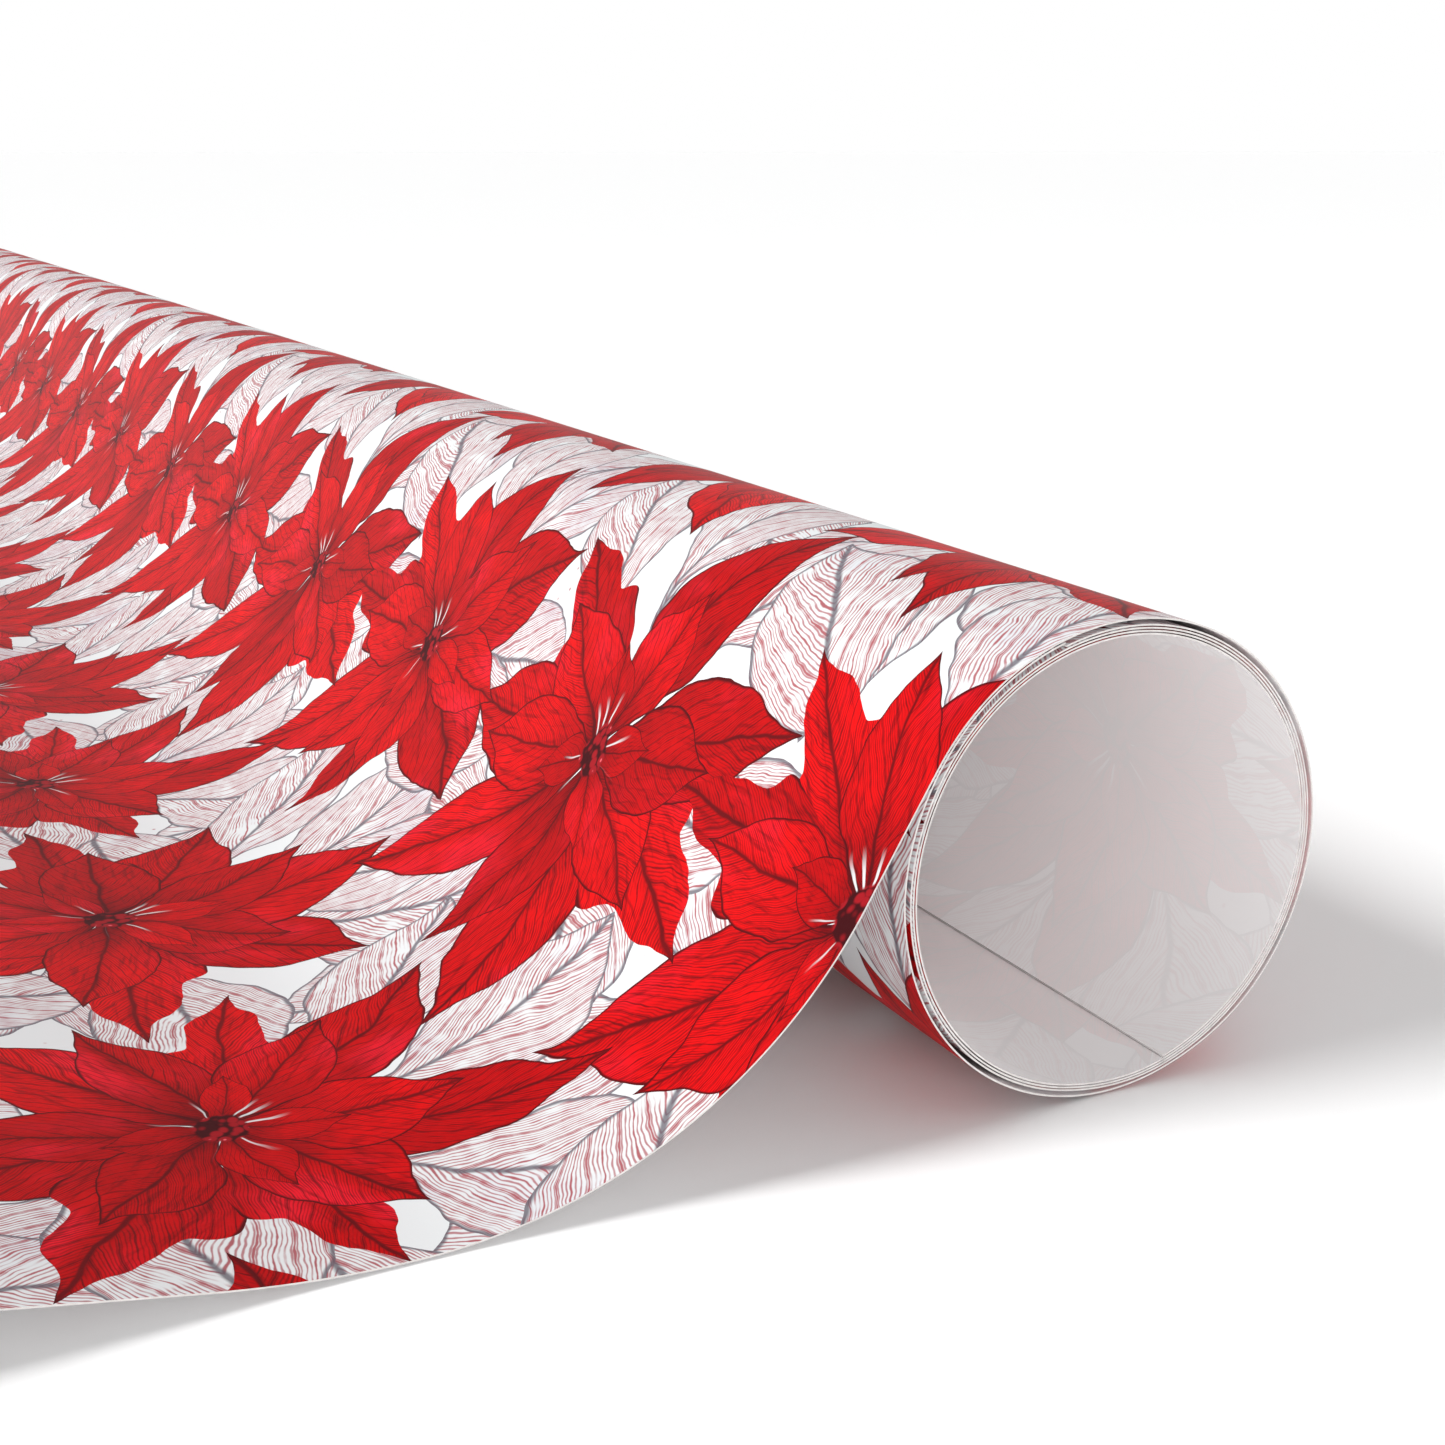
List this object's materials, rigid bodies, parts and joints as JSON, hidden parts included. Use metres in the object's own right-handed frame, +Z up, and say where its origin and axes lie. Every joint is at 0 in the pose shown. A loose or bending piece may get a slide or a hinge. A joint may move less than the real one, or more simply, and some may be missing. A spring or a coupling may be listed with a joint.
{
  "type": "wrapping paper roll",
  "caption": "Coreless roll of printed gift wrap, partly unrolled, with the sheet drawn off the top of the coil and laid flat.",
  "frame": {"origin": "on the axis of the coil's bore, in the middle of the sheet's width", "axes": "+X along the roll's axis, +Y from the laid sheet towards the coil, +Z up from the table"},
  "size_m": [0.762, 0.3556, 0.0417],
  "materials": {
    "printed_paper": "satin print outside, matte white inside"
  },
  "bodies": {
    "roll": {"outer_wrap": "printed_paper", "descent": "printed_paper", "wave_rise": "printed_paper", "wave_crest": "printed_paper", "leader": "printed_paper"},
    "coil": {"turn_3": "printed_paper", "turn_4": "printed_paper"},
    "inner_coil": {"turn_2": "printed_paper"},
    "core_turn": {"turn_1": "printed_paper"},
    "drawn_sheet": {"laid_sheet": "printed_paper"},
    "lifted_sheet": {"lift_panel": "printed_paper"},
    "curled_end": {"free_end": "printed_paper"}
  },
  "joints": [
    {"name": "sheet_pull", "type": "slide", "parent": "roll", "child": "drawn_sheet", "axis": [0, -1, 0], "range_m": [0, 0.1036]},
    {"name": "coil_turn", "type": "hinge", "parent": "roll", "child": "coil", "pos_m": [0, 0, 0], "axis": [1, 0, 0], "range_deg": [0, 283.68]},
    {"name": "telescope", "type": "slide", "parent": "coil", "child": "inner_coil", "axis": [1, 0, 0], "range_m": [-0.02, 0.02]},
    {"name": "telescope_core", "type": "slide", "parent": "inner_coil", "child": "core_turn", "axis": [1, 0, 0], "range_m": [-0.02, 0.02]},
    {"name": "sheet_lift", "type": "hinge", "parent": "drawn_sheet", "child": "lifted_sheet", "pos_m": [0, -0.26958, -0.02042], "axis": [-1, 0, 0], "range_deg": [0, 50]},
    {"name": "sheet_curl", "type": "hinge", "parent": "lifted_sheet", "child": "curled_end", "pos_m": [0, -0.31158, -0.02042], "axis": [-1, 0, 0], "range_deg": [0, 45]}
  ],
  "couplings": [
    {"joint": "coil_turn", "follows": "sheet_pull", "rad_per_m": 47.79},
    {"joint": "telescope_core", "follows": "telescope", "ratio": 1}
  ]
}
